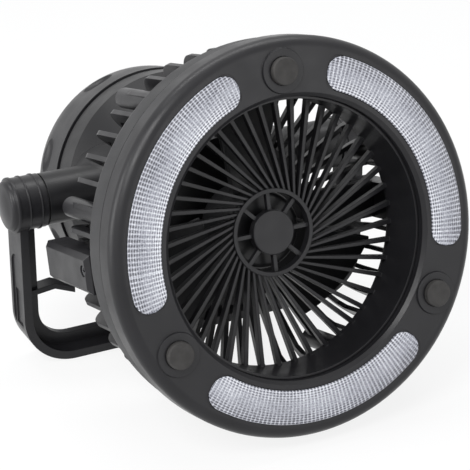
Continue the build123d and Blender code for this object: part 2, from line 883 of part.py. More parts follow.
for name, direction in button_sides.items():
    with BuildPart() as button:
        with BuildSketch(panel_plane(button_floor)):
            with Locations((direction * button_spacing / 2, 0)):
                Circle(button_radius - button_gap)
        extrude(amount=drum_radius + panel_height + button_proud - button_floor)
        with BuildSketch(panel_plane(button_floor)):
            with Locations((direction * button_spacing / 2, 0)):
                Circle(button_radius + button_lip)
        extrude(amount=button_flange)
    save(button, f"{name}_button")

with BuildPart() as button_board:
    with BuildSketch(panel_plane(board_floor)):
        RectangleRounded(panel_length + 2 * board_overhang, panel_width - 1.0, board_thickness)
    extrude(amount=-board_thickness)
save(button_board, "button_board")

with BuildPart() as button_switches:
    with BuildSketch(panel_plane(board_floor)):
        with GridLocations(button_spacing, 0, 2, 1):
            Rectangle(switch_size, switch_size)
    extrude(amount=switch_height)
save(button_switches, "button_switches")

with BuildPart() as control_board:
    with BuildSketch(drum.offset(-bulkhead_front)):
        Circle(board_radius)
    extrude(amount=board_thickness)
save(control_board, "control_board")

cover_front = drum_back + seam_width
with BuildPart() as cover_seal:
    with BuildSketch(drum.offset(-cover_front)):
        Circle(drum_radius - seam_depth)
        Circle(band_inner - seal_inset, mode=Mode.SUBTRACT)
    extrude(amount=seam_width)
save(cover_seal, "cover_seal")

spigot_outer = band_inner - 1.0 - cover_turn_gap
spigot_inner = spigot_outer - spigot_wall
with BuildPart() as battery_cover:
    with BuildSketch(radial_plane(0, drum)):
        with BuildLine():
            Line((0, -cover_back), (cover_end_radius, -cover_back))
            Bezier(
                (cover_end_radius, -cover_back),
                (cover_radius - cover_edge, -cover_back),
                (cover_radius, -cover_back + cover_edge),
                (cover_radius, -cover_back + cover_shoulder),
            )
            Polyline(
                (cover_radius, -cover_back + cover_shoulder),
                (cover_radius, -cover_front - cover_turn_gap),
                (spigot_outer, -cover_front - cover_turn_gap),
                (spigot_outer, -drum_back + spigot_reach),
                (spigot_inner, -drum_back + spigot_reach),
                (spigot_inner, -cover_back + cover_shoulder),
                (cover_end_radius - cover_wall, -cover_back + cover_wall),
                (0, -cover_back + cover_wall),
                (0, -cover_back),
            )
        make_face()
    revolve(axis=drum_axis)
    # Finger scoops round the shoulder.
    for index in range(scoop_count):
        angle = scoop_phase + index * 360 / scoop_count
        scoop = facing_plane(angle, cover_radius + scoop_width / 2 - scoop_sink, scoop_depth, drum)
        with BuildSketch(scoop):
            Ellipse(scoop_length / 2, scoop_width / 2)
            Rectangle(scoop_length, scoop_width, align=(Align.CENTER, Align.MIN), mode=Mode.SUBTRACT)
        revolve(axis=Axis(scoop.origin, scoop.x_dir), mode=Mode.SUBTRACT)
save(battery_cover, "battery_cover")

carrier_back = cell_back + 1.0
with BuildPart() as battery_carrier:
    with BuildSketch(drum.offset(-carrier_back)):
        Circle(cell_spacing * sqrt(0.5) + cell_radius + cell_gap + carrier_wall)
    extrude(amount=carrier_back - bulkhead_back)
    with BuildSketch(drum.offset(-carrier_back)):
        with GridLocations(cell_spacing, cell_spacing, 2, 2):
            Circle(cell_radius + cell_gap)
    extrude(amount=carrier_back - bulkhead_back - carrier_floor, mode=Mode.SUBTRACT)
save(battery_carrier, "battery_carrier")

cell_front = cell_back - cell_length
with BuildPart() as battery_cells:
    with BuildSketch(drum.offset(-cell_back)):
        with GridLocations(cell_spacing, cell_spacing, 2, 2):
            Circle(cell_radius)
    extrude(amount=cell_length)
save(battery_cells, "battery_cells")

with BuildPart() as battery_contacts:
    with BuildSketch(drum.offset(-cell_front)):
        with GridLocations(cell_spacing, cell_spacing, 2, 2):
            Circle(contact_radius)
    extrude(amount=cell_front - bulkhead_back - carrier_floor)
save(battery_contacts, "battery_contacts")

# ---------------------------------------------------------------- stand
arm_inset = strap_thickness + web_height


def bail_outline(inset):
    """Upright U outline, open at the pivot's height."""
    with BuildSketch(mode=Mode.PRIVATE) as outline:
        with Locations((0, inset)):
            Rectangle(
                2 * (stand_half_width - inset),
                2 * pivot_height,
                align=(Align.CENTER, Align.MIN),
            )
        fillet(outline.vertices().group_by(Axis.Y)[0], stand_corner - inset)
        with Locations((0, pivot_height)):
            Rectangle(
                2 * stand_half_width,
                2 * pivot_height,
                align=(Align.CENTER, Align.MIN),
                mode=Mode.SUBTRACT,
            )
    return outline.sketch


with BuildPart() as stand_frame:
    with BuildSketch(Plane.XZ):
        add(bail_outline(0))
        add(bail_outline(strap_thickness), mode=Mode.SUBTRACT)
    extrude(amount=strap_width / 2, both=True)
    with BuildSketch(Plane.XZ.offset(-web_centre - web_thickness / 2)):
        add(bail_outline(strap_thickness / 2))
        add(bail_outline(arm_inset), mode=Mode.SUBTRACT)
    extrude(amount=web_thickness)
    # Pegs on the inner faces of the arms.
    with BuildSketch(Plane.XZ.offset(-web_centre - peg_width / 2)):
        for side in side_names:
            with BuildLine():
                root_x = side * (stand_half_width - strap_thickness)
                tip_x = side * (stand_half_width - arm_inset - peg_length)
                bend_x = side * (stand_half_width - arm_inset - peg_length * peg_bend)
                Polyline(
                    (root_x, peg_height),
                    (bend_x, peg_height + peg_rise),
                    (tip_x, peg_height - peg_dip),
                    (tip_x, peg_height - peg_dip - peg_thickness),
                    (bend_x, peg_height + peg_rise - peg_thickness),
                    (root_x, peg_height - peg_thickness),
                    close=True,
                )
            make_face()
    extrude(amount=peg_width)
    for side in side_names:
        with BuildSketch(pivot.offset(side * knuckle_inner)):
            Circle(knuckle_radius)
        extrude(amount=side * (stand_half_width - knuckle_inner))
        with BuildSketch(pivot.offset(side * knuckle_inner)):
            Circle(pivot_bore)
        extrude(amount=side * (stand_half_width - knuckle_inner), mode=Mode.SUBTRACT)
        with BuildSketch(pivot.offset(side * stand_half_width)):
            Circle(pin_head_radius + part_gap)
        extrude(amount=side * -pin_recess, mode=Mode.SUBTRACT)
        # Long sunk panel on the outer face of each arm.
        with BuildSketch(side_plane(side, stand_half_width)):
            with Locations((0, (relief_bottom + relief_top) / 2)):
                SlotOverall(relief_top - relief_bottom, strap_width - 2 * relief_margin, rotation=90)
        extrude(amount=-relief_depth, mode=Mode.SUBTRACT)
save(stand_frame, "stand_frame")

for side, name in side_names.items():
    with BuildPart() as knob:
        with BuildSketch(pivot.offset(side * stand_half_width)):
            Circle(knob_radius)
        extrude(amount=side * knob_height)
        fillet(knob.faces().sort_by(Axis.X)[-1 if side > 0 else 0].edges(), knob_edge)
    save(knob, f"pivot_knob_{name}")

    with BuildPart() as pivot_pin:
        with BuildSketch(pivot.offset(side * (boss_outer - pivot_pin_depth))):
            Circle(pivot_bore - pivot_pin_gap)
        extrude(amount=side * (stand_half_width - 1.0 - boss_outer + pivot_pin_depth))
        with BuildSketch(pivot.offset(side * (stand_half_width - pin_recess + part_gap))):
            Circle(pin_head_radius)
        extrude(amount=side * pin_head_height)
    save(pivot_pin, f"pivot_pin_{name}")

    with BuildPart() as washer:
        with BuildSketch(pivot.offset(side * boss_outer)):
            Circle(boss_radius - 1.0)
            Circle(pivot_bore, mode=Mode.SUBTRACT)
        extrude(amount=side * washer_thickness)
    save(washer, f"pivot_washer_{name}")
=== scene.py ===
import json
import math

import bmesh
import bpy
from mathutils import Matrix, Vector


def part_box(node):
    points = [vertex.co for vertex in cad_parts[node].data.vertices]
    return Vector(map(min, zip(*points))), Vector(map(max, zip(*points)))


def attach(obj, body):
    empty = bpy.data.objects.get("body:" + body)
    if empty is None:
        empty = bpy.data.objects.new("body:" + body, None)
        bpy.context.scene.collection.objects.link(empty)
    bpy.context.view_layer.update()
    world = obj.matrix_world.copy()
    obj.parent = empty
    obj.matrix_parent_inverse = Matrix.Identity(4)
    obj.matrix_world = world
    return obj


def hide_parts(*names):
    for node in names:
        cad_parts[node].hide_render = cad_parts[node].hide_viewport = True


# Looks of the portable camping fan: materials, floor, light and camera.  Everything is in metres.

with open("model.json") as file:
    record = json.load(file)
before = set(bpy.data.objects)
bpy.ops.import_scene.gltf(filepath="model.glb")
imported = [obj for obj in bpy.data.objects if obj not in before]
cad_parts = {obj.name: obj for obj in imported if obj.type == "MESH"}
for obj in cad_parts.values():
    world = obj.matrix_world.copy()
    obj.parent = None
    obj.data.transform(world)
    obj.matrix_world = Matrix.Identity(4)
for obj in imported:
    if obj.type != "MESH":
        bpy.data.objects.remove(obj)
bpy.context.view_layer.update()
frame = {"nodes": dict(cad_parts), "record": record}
nodes = frame["nodes"]

HEAD_ORIGIN = Vector((0.0, -0.12502, 0.10681))
HEAD_TURN = math.radians(75.0)      # the head frame is the row frame turned about X by this much
PLASTIC_SHINE = 0.3                 # moulded black plastic reflects less than the shader's plain setting
RUBBER_SHINE = 0.35
PLASTIC_EDGE = 0.0005               # how far a material's shading rounds the edges
LENS_INNER = 0.0785
LENS_OUTER = 0.097
ROWS_PER_METRE = 760.0
BARS_PER_RADIAN = 40.0
SHARP = math.radians(38.0)          # edges sharper than this stay sharp
NEARLY_FLAT = math.radians(1.0)     # faces that differ less than this are one flat face
BEVELLED = math.radians(35.0)       # edges sharper than this are rounded
LENS_SHARP = math.radians(12.0)
MERGE = 2e-6


# ---------------------------------------------------------------- materials
class Sheet:
    """One material under construction, with short calls for its nodes."""

    def __init__(self, name, roughness, **sockets):
        self.material = bpy.data.materials.new(name)
        self.material.use_nodes = True
        self.tree = self.material.node_tree
        self.shader = self.tree.nodes["Principled BSDF"]
        self.shader.inputs["Roughness"].default_value = roughness
        for socket, value in sockets.items():
            self.shader.inputs[socket.replace("_", " ")].default_value = value
        self.place = self.tree.nodes.new("ShaderNodeTexCoord").outputs["Object"]

    def link(self, out, into):
        self.tree.links.new(out, into)

    def math(self, operation, first, second=None):
        node = self.tree.nodes.new("ShaderNodeMath")
        node.operation = operation
        for index, value in enumerate((first, second)):
            if value is None:
                continue
            if isinstance(value, (int, float)):
                node.inputs[index].default_value = value
            else:
                self.link(value, node.inputs[index])
        return node.outputs[0]

    def noise(self, scale, detail=3.0, stretch=(1, 1, 1)):
        spread = self.tree.nodes.new("ShaderNodeMapping")
        spread.inputs["Scale"].default_value = stretch
        self.link(self.place, spread.inputs["Vector"])
        node = self.tree.nodes.new("ShaderNodeTexNoise")
        node.inputs["Scale"].default_value = scale
        node.inputs["Detail"].default_value = detail
        self.link(spread.outputs[0], node.inputs["Vector"])
        return node.outputs["Fac"]

    def between(self, factor, low, high, start=0.0, end=1.0):
        node = self.tree.nodes.new("ShaderNodeMapRange")
        for socket, value in zip(("From Min", "From Max", "To Min", "To Max"), (start, end, low, high)):
            node.inputs[socket].default_value = value
        self.link(factor, node.inputs["Value"])
        return node.outputs[0]

    def wave(self, value):
        """Triangle wave of period 1 that runs from 0 to 1."""
        return self.math("PINGPONG", self.math("MULTIPLY", value, 2.0), 1.0)

    def total(self, *values):
        running = values[0]
        for value in values[1:]:
            running = self.math("ADD", running, value)
        return running

    def colours(self, factor, *stops):
        node = self.tree.nodes.new("ShaderNodeValToRGB")
        ramp = node.color_ramp
        while len(ramp.elements) < len(stops):
            ramp.elements.new(0.5)
        for element, (where, colour) in zip(ramp.elements, stops):
            element.position = where
            element.color = (*colour, 1.0)
        self.link(factor, node.inputs["Fac"])
        self.link(node.outputs["Color"], self.shader.inputs["Base Color"])

    def relief(self, height, distance, strength, round_edges):
        """Fine bumps of the surface over edges that are shaded as if rounded."""
        edge = self.tree.nodes.new("ShaderNodeBevel")
        edge.samples = 6
        edge.inputs["Radius"].default_value = round_edges
        bump = self.tree.nodes.new("ShaderNodeBump")
        bump.inputs["Distance"].default_value = distance
        bump.inputs["Strength"].default_value = strength
        self.link(height, bump.inputs["Height"])
        self.link(edge.outputs[0], bump.inputs["Normal"])
        self.link(bump.outputs[0], self.shader.inputs["Normal"])

    def head_place(self):
        """Position in the head's frame: x across, y up the tilted face, z forwards."""
        node = self.tree.nodes.new("ShaderNodeMapping")
        node.vector_type = "TEXTURE"
        node.inputs["Location"].default_value = HEAD_ORIGIN
        node.inputs["Rotation"].default_value = (HEAD_TURN, 0.0, 0.0)
        self.link(self.place, node.inputs["Vector"])
        split = self.tree.nodes.new("ShaderNodeSeparateXYZ")
        self.link(node.outputs[0], split.inputs[0])
        return split.outputs


def moulded(name, dark, light, roughness, grain=2600.0, depth=0.00006):
    """Moulded plastic: faint mottling, uneven gloss and a fine spark-eroded grain."""
    sheet = Sheet(name, roughness)
    sheet.shader.inputs["Specular IOR Level"].default_value = PLASTIC_SHINE
    cloud = sheet.noise(34.0, 4.0)
    sheet.colours(cloud, (0.3, dark), (0.7, light))
    sheet.link(
        sheet.between(sheet.noise(60.0, 5.0), roughness - 0.05, roughness + 0.06, 0.35, 0.65),
        sheet.shader.inputs["Roughness"],
    )
    sheet.relief(sheet.noise(grain, 2.0), depth, 0.4, PLASTIC_EDGE)
    return sheet.material


def metal(name, colour, roughness, stretch=(1, 1, 1)):
    """Metal with streaks of tone and gloss, drawn out along an axis where it was turned."""
    sheet = Sheet(name, roughness, Metallic=1.0)
    streak = sheet.noise(420.0, 3.0, stretch)
    sheet.colours(streak, (0.3, tuple(0.82 * c for c in colour)), (0.7, colour))
    uneven = sheet.between(streak, roughness - 0.06, roughness + 0.1, 0.3, 0.7)
    sheet.link(uneven, sheet.shader.inputs["Roughness"])
    sheet.relief(streak, 0.00003, 0.3, 0.0002)
    return sheet.material


def rubber(name, dark, light):
    """Matte rubber with a coarse skin."""
    sheet = Sheet(name, 0.72)
    sheet.shader.inputs["Specular IOR Level"].default_value = RUBBER_SHINE
    sheet.colours(sheet.noise(240.0, 5.0), (0.35, dark), (0.65, light))
    sheet.relief(sheet.noise(3400.0, 3.0), 0.00009, 0.6, PLASTIC_EDGE)
    return sheet.material


def prism_lens(name):
    """Lens over a white reflector, with bars across the band and finer rows along it.

    The surface is opaque: its colours stand for what a clear lens would show of the tray behind it, with
    painted highlights on the bars and rows, painted shade in the hollows, and painted shading that darkens
    outwards.
    """
    sheet = Sheet(name, 0.24, IOR=1.49, Coat_Weight=0.35, Coat_Roughness=0.1)
    across, up, forwards = sheet.head_place()
    squares = sheet.total(sheet.math("MULTIPLY", across, across), sheet.math("MULTIPLY", up, up))
    radius = sheet.math("SQRT", squares)
    angle = sheet.math("ARCTAN2", up, across)
    rows = sheet.wave(sheet.math("MULTIPLY", radius, ROWS_PER_METRE))
    bars = sheet.wave(sheet.math("MULTIPLY", angle, BARS_PER_RADIAN))
    off_middle = sheet.math("ABSOLUTE", sheet.math("SUBTRACT", radius, (LENS_INNER + LENS_OUTER) / 2))
    edge = sheet.between(off_middle, 0.3, 1.0, 0.002, 0.008)
    # Painted highlights: bright lines along the bars, and along the rows near the band's edges.
    bar_highlights = sheet.math("MULTIPLY", sheet.math("POWER", bars, 3.0), 0.3)
    row_highlights = sheet.math("MULTIPLY", sheet.math("MULTIPLY", sheet.math("POWER", rows, 2.0), 0.3), edge)
    # Painted shade in the hollows between bars and rows, near the band's edges.
    hollow = sheet.math("MULTIPLY", sheet.math("SUBTRACT", 1.0, bars), sheet.math("SUBTRACT", 1.0, rows))
    pit_shade = sheet.math("MULTIPLY", sheet.math("MULTIPLY", hollow, -0.8), edge)
    # Painted shading across the crown: lighter at the inner edge, darker at the outer edge.
    crown_shading = sheet.between(radius, 0.1, -0.14, LENS_INNER + 0.002, LENS_OUTER - 0.001)
    patches = sheet.between(sheet.noise(42.0, 1.0), -0.07, 0.07, 0.3, 0.7)
    speckle = sheet.between(sheet.noise(1300.0, 1.0), -0.16, 0.16, 0.3, 0.7)
    sheen = sheet.total(bar_highlights, row_highlights, pit_shade, crown_shading, patches, speckle, 0.42)
    sheet.colours(
        sheen,
        (0.02, (0.07, 0.07, 0.085)),
        (0.3, (0.27, 0.275, 0.315)),
        (0.55, (0.44, 0.45, 0.5)),
        (0.95, (0.86, 0.87, 0.91)),
    )
    return sheet.material


def plain(name, dark, light, roughness):
    """Smooth finish with a slight change of tone, for the pieces inside."""
    sheet = Sheet(name, roughness)
    sheet.colours(sheet.noise(300.0, 4.0), (0.3, dark), (0.7, light))
    sheet.relief(sheet.noise(1500.0, 2.0), 0.00004, 0.3, 0.0003)
    return sheet.material


materials = {
    "charcoal_plastic": moulded(
        "charcoal_plastic", (0.0105, 0.0103, 0.0118), (0.0145, 0.0142, 0.016), 0.36
    ),
    # Darker copy of the charcoal plastic for the drum: painted shade where the drum lies in shadow.
    "drum_plastic_painted_shade": moulded("drum_plastic_painted_shade", (0.006, 0.006, 0.007), (0.009, 0.009, 0.010), 0.4),
    # Lighter, rougher copy of the charcoal plastic for the ring shell: partly a matte finish, partly
    # painted light on the ring's lit side.
    "shell_plastic_painted_light": moulded(
        "shell_plastic_painted_light", (0.021, 0.021, 0.0225), (0.029, 0.029, 0.0305), 0.52, 1900.0, 0.0001
    ),
    "rotor_black": moulded("rotor_black", (0.007, 0.007, 0.008), (0.0105, 0.0105, 0.0115), 0.4),
    "rubber_black": rubber("rubber_black", (0.03, 0.0285, 0.0275), (0.042, 0.04, 0.0385)),
    "clear_lens": prism_lens("clear_lens"),
    "white_plastic": plain("white_plastic", (0.78, 0.79, 0.81), (0.88, 0.89, 0.9), 0.3),
    "board_white": plain("board_white", (0.7, 0.71, 0.7), (0.8, 0.8, 0.79), 0.4),
    "led_yellow": plain("led_yellow", (0.82, 0.68, 0.2), (0.92, 0.8, 0.3), 0.35),
    "screw_steel": metal("screw_steel", (0.11, 0.11, 0.115), 0.38),
    "shaft_steel": metal("shaft_steel", (0.58, 0.59, 0.6), 0.28, (1, 12, 12)),
    "motor_steel": metal("motor_steel", (0.4, 0.41, 0.42), 0.36),
    "carrier_plastic": moulded("carrier_plastic", (0.06, 0.06, 0.065), (0.085, 0.085, 0.09), 0.5),
    "cell_jacket": plain("cell_jacket", (0.1, 0.13, 0.18), (0.14, 0.17, 0.23), 0.25),
    "contact_brass": metal("contact_brass", (0.72, 0.52, 0.22), 0.3),
    "board_green": plain("board_green", (0.02, 0.12, 0.05), (0.03, 0.17, 0.07), 0.4),
    "washer_nylon": plain("washer_nylon", (0.012, 0.012, 0.013), (0.018, 0.018, 0.019), 0.5),
}

slots = {piece["node"]: piece["material_slot"] for piece in frame["record"]["subparts"]}
# Nodes repainted with lit or shaded copies of the charcoal plastic: painted shade on the drum, painted
# light on the ring shell.
PAINTED_LIGHT_AND_SHADE = {"drum_shell": "drum_plastic_painted_shade", "ring_shell": "shell_plastic_painted_light"}
for name, node in nodes.items():
    node.data.materials.clear()
    node.data.materials.append(materials[PAINTED_LIGHT_AND_SHADE.get(name, slots[name])])


# ---------------------------------------------------------------- pieces that dress the frame
X = Vector((1.0, 0.0, 0.0))
FORWARD = Vector((0.0, -math.sin(HEAD_TURN), math.cos(HEAD_TURN)))
UPWARD = Vector((0.0, math.cos(HEAD_TURN), math.sin(HEAD_TURN)))
SIDES = {"left": -1.0, "right": 1.0}


def head_point(across, up, forwards):
    return HEAD_ORIGIN + X * across + UPWARD * up + FORWARD * forwards


def finish_piece(name, mesh, body, slot, replaced=(), finish=None):
    """Hands a mesh to a body with a material slot of the record, in place of some nodes."""
    piece = bpy.data.objects.new(name, mesh)
    bpy.context.collection.objects.link(piece)
    mesh.materials.clear()
    mesh.materials.append(materials[finish or slot])
    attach(piece, body)
    if replaced:
        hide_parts(*replaced)
    return piece


def grid_mesh(name, rows, sharp=SHARP):
    """Closed skin over rings of points, with a face over the first and the last ring."""
    work = bmesh.new()
    rings = [[work.verts.new(point) for point in row] for row in rows]
    count = len(rows[0])
    for first, second in zip(rings, rings[1:]):
        for index in range(count):
            after = (index + 1) % count
            work.faces.new((first[index], first[after], second[after], second[index]))
    for ring in (rings[0], rings[-1]):
        work.faces.new(ring)
    bmesh.ops.remove_doubles(work, verts=work.verts, dist=1e-7)
    bmesh.ops.recalc_face_normals(work, faces=work.faces)
    mesh = bpy.data.meshes.new(name)
    work.to_mesh(mesh)
    work.free()
    mesh.shade_smooth()
    mesh.set_sharp_from_angle(angle=sharp)
    return mesh


def lathe(name, centre, axis, profile, steps=96):
    """Turned solid round an axis: the profile is (radius, distance along the axis) from end to end."""
    first = axis.orthogonal().normalized()
    second = axis.cross(first)
    rows = []
    for radius, distance in profile:
        ring = []
        for step in range(steps):
            turn = 2 * math.pi * step / steps
            outwards = first * math.cos(turn) + second * math.sin(turn)
            ring.append(centre + axis * distance + outwards * radius)
        rows.append(ring)
    return grid_mesh(name, rows)


def quarter(radius, distance, width, height, steps=8):
    """Profile points of a quarter round that ends at (radius - width, distance + height)."""
    points = []
    for step in range(steps + 1):
        turn = math.pi / 2 * step / steps
        points.append((radius - width * (1 - math.cos(turn)), distance + height * math.sin(turn)))
    return points


def softened(node, radius, body, slot, cutters=()):
    """The node's own shape with rounded edges, and with pockets cut by other meshes first."""
    mesh = nodes[node].data.copy()
    work = bmesh.new()
    work.from_mesh(mesh)
    bmesh.ops.remove_doubles(work, verts=work.verts, dist=MERGE)
    bmesh.ops.dissolve_limit(work, angle_limit=NEARLY_FLAT, verts=work.verts, edges=work.edges)
    work.to_mesh(mesh)
    work.free()
    mesh.shade_smooth()
    mesh.set_sharp_from_angle(angle=SHARP)
    source = bpy.data.objects.new(f"{node}_source", mesh)
    bpy.context.collection.objects.link(source)
    tools = []
    for index, cutter in enumerate(cutters):
        tool = bpy.data.objects.new(f"{node}_cutter_{index}", cutter)
        bpy.context.collection.objects.link(tool)
        tools.append(tool)
        cut = source.modifiers.new("cut", "BOOLEAN")
        cut.operation = "DIFFERENCE"
        cut.solver = "EXACT"
        cut.object = tool
    edges = source.modifiers.new("edges", "BEVEL")
    edges.width = radius
    edges.segments = 3
    edges.limit_method = "ANGLE"
    edges.angle_limit = BEVELLED
    edges.use_clamp_overlap = True
    evening = source.modifiers.new("evening", "WEIGHTED_NORMAL")
    evening.keep_sharp = True
    shaped = bpy.data.meshes.new_from_object(source.evaluated_get(bpy.context.evaluated_depsgraph_get()))
    for leftover in (source, *tools):
        bpy.data.objects.remove(leftover)
    return finish_piece(f"{node}_moulding", shaped, body, slot, (node,))


# Knobs: a domed cap that stands on a flat flange.
KNOB_FLANGE = 0.0018
KNOB_STEP = 0.0014                  # how much narrower the dome is than its flange
KNOB_ROUND = 0.0006
KNOB_ROOT = 0.0003                  # small rise where the dome meets the flange
DOME_EDGE = 0.0030
for side, sign in SIDES.items():
    low, high = (Vector(corner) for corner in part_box(f"pivot_knob_{side}"))
    inner = low.x if sign > 0 else high.x
    height = high.x - low.x
    radius = (high.y - low.y) / 2
    centre = Vector((inner, (low.y + high.y) / 2, (low.z + high.z) / 2))
    dome = radius - KNOB_STEP
    crown = height - KNOB_FLANGE - DOME_EDGE
    profile = [(0.0, 0.0), (radius, 0.0)]
    profile += quarter(radius, KNOB_FLANGE - KNOB_ROUND, KNOB_ROUND, KNOB_ROUND, 4)
    profile += [(dome + 0.0002, KNOB_FLANGE), (dome, KNOB_FLANGE + KNOB_ROOT)]
    profile += quarter(dome, KNOB_FLANGE + KNOB_ROOT, DOME_EDGE, DOME_EDGE - KNOB_ROOT)
    for share in (0.75, 0.5, 0.25, 0.0):
        profile.append(((dome - DOME_EDGE) * share, KNOB_FLANGE + DOME_EDGE + crown * (1 - share ** 2)))
    mesh = lathe(f"knob_cap_{side}", centre, X * sign, profile)
    finish_piece(f"knob_cap_{side}", mesh, "stand", "charcoal_plastic", (f"pivot_knob_{side}",))

# Raised bands round the stand's knuckles.
KNUCKLE_RADIUS = 0.015
BAND_RISE = 0.00055
BAND_WIDTH = 0.0013
BAND_SINK = 0.0004
BAND_PLACES = (0.0965, 0.1035)      # distances from the middle plane
knob_low, knob_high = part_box("pivot_knob_left")
PIVOT = Vector((0.0, 0.0, (knob_low[2] + knob_high[2]) / 2))
for side, sign in SIDES.items():
    for index, place in enumerate(BAND_PLACES):
        root = KNUCKLE_RADIUS - BAND_SINK
        profile = [(root, place - BAND_WIDTH), (KNUCKLE_RADIUS, place - BAND_WIDTH / 2)]
        profile += [(KNUCKLE_RADIUS + BAND_RISE, place - BAND_WIDTH / 4)]
        profile += [(KNUCKLE_RADIUS + BAND_RISE, place + BAND_WIDTH / 4)]
        profile += [(KNUCKLE_RADIUS, place + BAND_WIDTH / 2), (root, place + BAND_WIDTH)]
        mesh = lathe(f"knuckle_band_{side}_{index}", PIVOT, X * sign, profile)
        finish_piece(f"knuckle_band_{side}_{index}", mesh, "stand", "charcoal_plastic")

# Fillets where the pivot bosses grow out of the drum's cone.
BOSS_RADIUS = 0.0147
FILLET = 0.010
FILLET_SINK = 0.0004
DRUM_RISE = 0.012
CONE_FRONT = (0.082, 0.044)         # depth and radius
CONE_BACK = (0.146, 0.068)
PIVOT_DEPTH = -(PIVOT - HEAD_ORIGIN).dot(FORWARD)
PIVOT_RISE = (PIVOT - HEAD_ORIGIN).dot(UPWARD)


def drum_half_width(rise, depth):
    """How far the drum's surface lies from the middle plane at a place of the head's frame."""
    share = (depth - CONE_FRONT[0]) / (CONE_BACK[0] - CONE_FRONT[0])
    radius = CONE_FRONT[1] + (CONE_BACK[1] - CONE_FRONT[1]) * min(max(share, 0.0), 1.0)
    return math.sqrt(max(radius ** 2 - (rise - DRUM_RISE) ** 2, 0.0))


def boss_fillet(side, sign, rings=10, steps=72):
    rows = []
    for ring in range(rings + 1):
        share = ring / rings
        reach = BOSS_RADIUS - FILLET_SINK + (FILLET + FILLET_SINK) * share
        lift = FILLET * (1 - math.sqrt(1 - (1 - share) ** 2)) - FILLET_SINK * share
        row = []
        for step in range(steps):
            turn = 2 * math.pi * step / steps
            rise = PIVOT_RISE + reach * math.sin(turn)
            depth = PIVOT_DEPTH + reach * math.cos(turn)
            row.append(head_point(sign * (drum_half_width(rise, depth) + lift), rise, -depth))
        rows.append(row)
    mesh = grid_mesh(f"boss_fillet_{side}", rows)
    # The fillets take the drum's darker copy, with its painted shade.
    finish_piece(f"boss_fillet_{side}", mesh, "head", "charcoal_plastic", finish="drum_plastic_painted_shade")


for side, sign in SIDES.items():
    boss_fillet(side, sign)


def block(centre, axes, size):
    """Plain box to cut with: its middle, three directions and its size along each."""
    work = bmesh.new()
    bmesh.ops.create_cube(work, size=1.0)
    for vertex in work.verts:
        offset = sum((axis * length * part for axis, length, part in zip(axes, size, vertex.co)), Vector())
        vertex.co = centre + offset
    bmesh.ops.recalc_face_normals(work, faces=work.faces)
    mesh = bpy.data.meshes.new("block")
    work.to_mesh(mesh)
    work.free()
    return mesh


def prism(outline, depth):
    """Prism to cut with: an outline of points and the way it is drawn out."""
    return grid_mesh("prism", [outline, [point + depth for point in outline]])


# Side arms: rounded edges, and a wedge-shaped pocket in the top beside the ring.
HEAD_AXES = (X, UPWARD, FORWARD)
WORLD_AXES = (X, Vector((0.0, 1.0, 0.0)), Vector((0.0, 0.0, 1.0)))
ARM_TOP = 0.0060
ARM_EDGE = 0.0016
POCKET_DEPTH = 0.0045
for side, sign in SIDES.items():
    corners = ((0.0972, -0.0385), (0.0912, -0.0385), (0.0912, -0.0600))
    outline = [head_point(sign * across, ARM_TOP - POCKET_DEPTH, forwards) for across, forwards in corners]
    pocket = prism(outline, UPWARD * 2 * POCKET_DEPTH)
    softened(f"side_arm_{side}", ARM_EDGE, "head", "charcoal_plastic", (pocket,))

# Cross recesses in the side arms' screws.
SCREW_EDGE = 0.0003
CROSS_LENGTH = 0.0034
CROSS_WIDTH = 0.0009
CROSS_DEPTH = 0.0012
low, high = (Vector(corner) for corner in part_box("arm_screws"))
crosses = []
for outer in (low.x, high.x):
    centre = Vector((outer, (low.y + high.y) / 2, (low.z + high.z) / 2))
    crosses.append(block(centre, HEAD_AXES, (2 * CROSS_DEPTH, CROSS_LENGTH, CROSS_WIDTH)))
    crosses.append(block(centre, HEAD_AXES, (2 * CROSS_DEPTH, CROSS_WIDTH, CROSS_LENGTH)))
softened("arm_screws", SCREW_EDGE, "head", "screw_steel", crosses)

# Stand: rounded edges, and a step inside the long panel of each of its arms.
STAND_EDGE = 0.0010
STEP_FLOOR = 0.0017
STEP_LOW, STEP_HIGH = 0.024, 0.046
STEP_BACK, STEP_FRONT = 0.0045, -0.0045
stand_low, stand_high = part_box("stand_frame")
steps = []
for outer in (stand_low[0], stand_high[0]):
    centre = Vector((outer, (STEP_BACK + STEP_FRONT) / 2, (STEP_LOW + STEP_HIGH) / 2))
    size = (2 * STEP_FLOOR, STEP_BACK - STEP_FRONT, STEP_HIGH - STEP_LOW)
    steps.append(block(centre, WORLD_AXES, size))
softened("stand_frame", STAND_EDGE, "stand", "charcoal_plastic", steps)

# Lenses: crowned bands of small moulded prisms with well rounded ends.
FACE = 0.006                        # the ring's face in front of the head's origin
LENS_SWEEP = math.radians(86.0)
LENS_STARTS = {"left": math.radians(107.0), "bottom": math.radians(227.0), "right": math.radians(347.0)}
LENS_CORNER = 0.0084
WINDOW_CORNER = 0.006               # the window's own rounding in the bezel
LENS_EDGE = 0.0004                  # the lens's rim above the face
LENS_CROWN = 0.0008
PRISM_RISE = 0.0003
LENS_GAP = 0.00025
LENS_FOOT = 0.0015                  # how far the lens's edge reaches back from the face
FINE_STEP = 0.0025                  # share of the sweep between the sections near a lens's ends
FINE_COUNT = 32
PLATE = 0.0020
PLATE_SINK = 0.00003
PLATE_OVERLAP = 0.0002
PLATE_REACH = 0.97
PLATE_STEPS = 16


def corner_inset(along, corner):
    """How far a rounded corner draws the band's edge in at a distance from the band's end."""
    short = max(corner - along, 0.0)
    return corner - math.sqrt(corner ** 2 - short ** 2)


def triangle(value):
    """Triangle wave of period 1 from 0 to 1."""
    return 1 - abs(2 * (value % 1.0) - 1)


def ring_point(radius, angle, forwards):
    return head_point(radius * math.cos(angle), radius * math.sin(angle), forwards)


